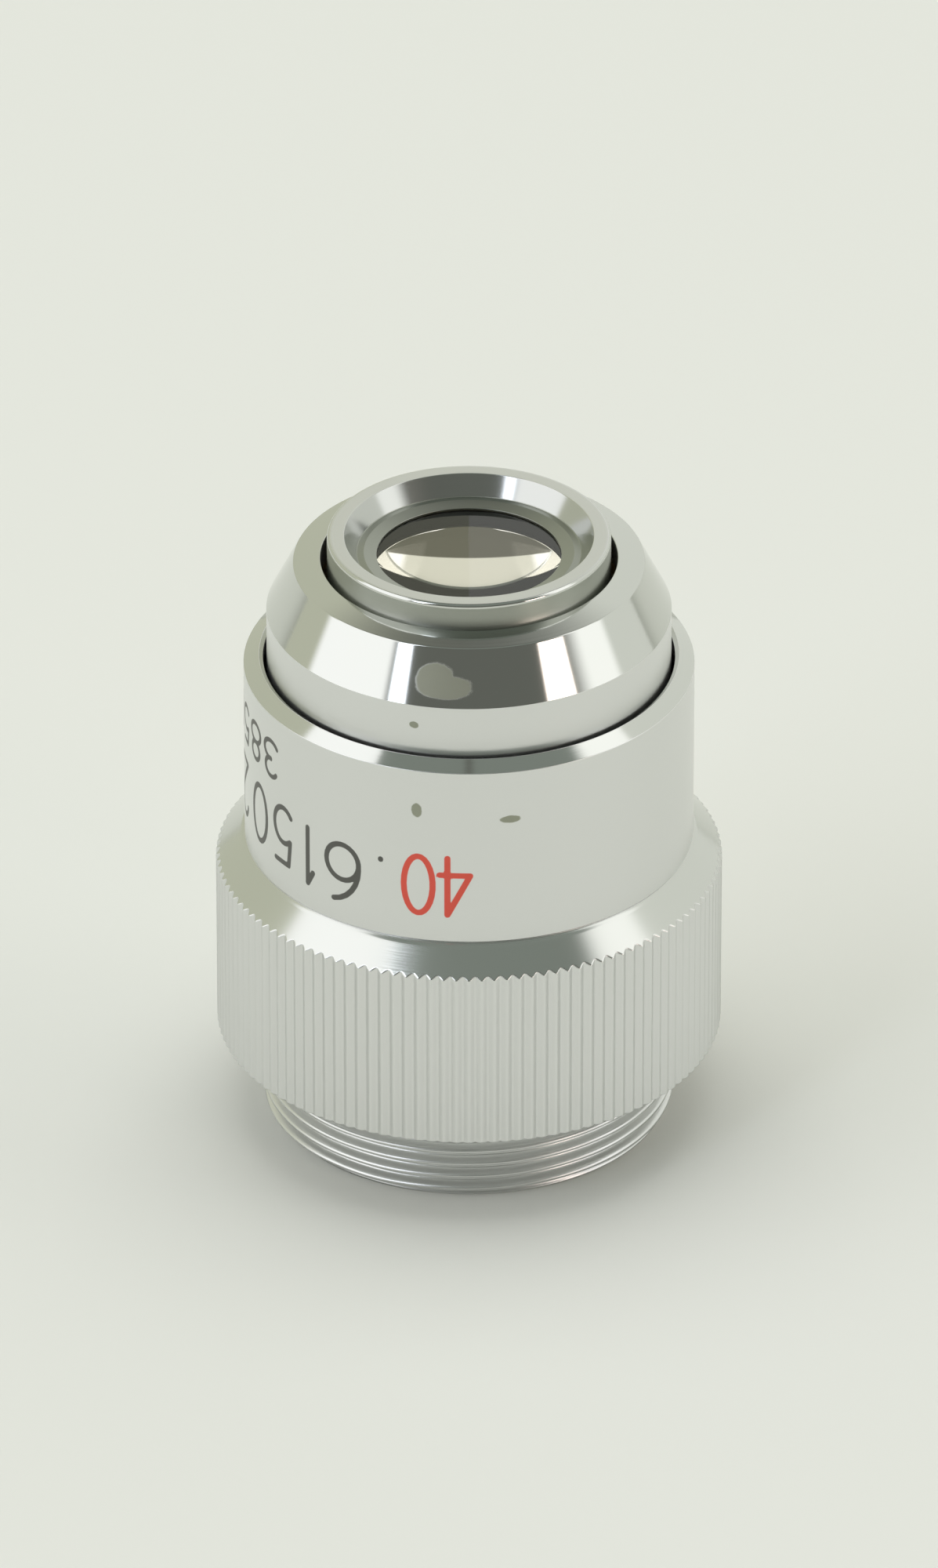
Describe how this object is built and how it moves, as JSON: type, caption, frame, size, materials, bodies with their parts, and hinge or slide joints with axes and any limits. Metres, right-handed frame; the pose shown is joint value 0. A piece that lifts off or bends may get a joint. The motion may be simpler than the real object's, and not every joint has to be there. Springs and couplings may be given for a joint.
{
  "type": "microscope objective",
  "caption": "Microscope objective with a mounting thread, a ridged grip, a plain sleeve, a conical nose that retracts on a spring, and a recessed front lens.",
  "frame": {"origin": "centre of the flat shoulder that seats on the nosepiece, on the optical axis", "axes": "+Z along the optical axis out of the nose, -Z out of the thread's end, the guide screw on the +Y side"},
  "size_m": [0.025, 0.025, 0.0318],
  "materials": {
    "satin_chrome": "satin chrome plate over a turned body",
    "sleeve_chrome": "satin chrome plate with a polished lip and filled markings",
    "nose_chrome": "satin chrome skirt with a mirror-polished cone",
    "front_chrome": "satin chrome land with a mirror-polished recess",
    "black_oxide_steel": "black oxide",
    "spring_steel": "bright drawn wire",
    "blackened_brass": "chemically blackened",
    "bare_brass": "turned, lightly oiled",
    "black_anodised": "matte black anodised",
    "crown_glass": "polished",
    "flint_glass": "polished",
    "coated_glass": "polished, with a thin coating"
  },
  "bodies": {
    "fixed_body": {"mount_body": "satin_chrome", "outer_sleeve": "sleeve_chrome", "guide_screw": "black_oxide_steel", "rear_retaining_ring": "blackened_brass", "return_spring": "spring_steel"},
    "moving_nose": {"lens_barrel": "bare_brass", "nose_cover": "nose_chrome", "rear_baffle_tube": "black_anodised", "rear_cell": "blackened_brass", "rear_crown_lens": "crown_glass", "rear_flint_lens": "flint_glass", "rear_lens_retainer": "blackened_brass", "air_gap_spacer": "black_anodised", "aperture_stop": "black_anodised", "middle_cell": "blackened_brass", "middle_crown_lens": "crown_glass", "middle_flint_lens": "flint_glass", "middle_lens_retainer": "blackened_brass", "spacing_shim": "bare_brass", "front_cell": "front_chrome", "front_lens": "coated_glass", "front_lens_retainer": "blackened_brass"}
  },
  "joints": [
    {"name": "nose_slide", "type": "slide", "parent": "fixed_body", "child": "moving_nose", "axis": [0, 0, -1], "range_m": [0, 0.0022], "stiffness_N_per_m": 800, "springref_m": -0.003, "deforming": ["return_spring"]}
  ]
}
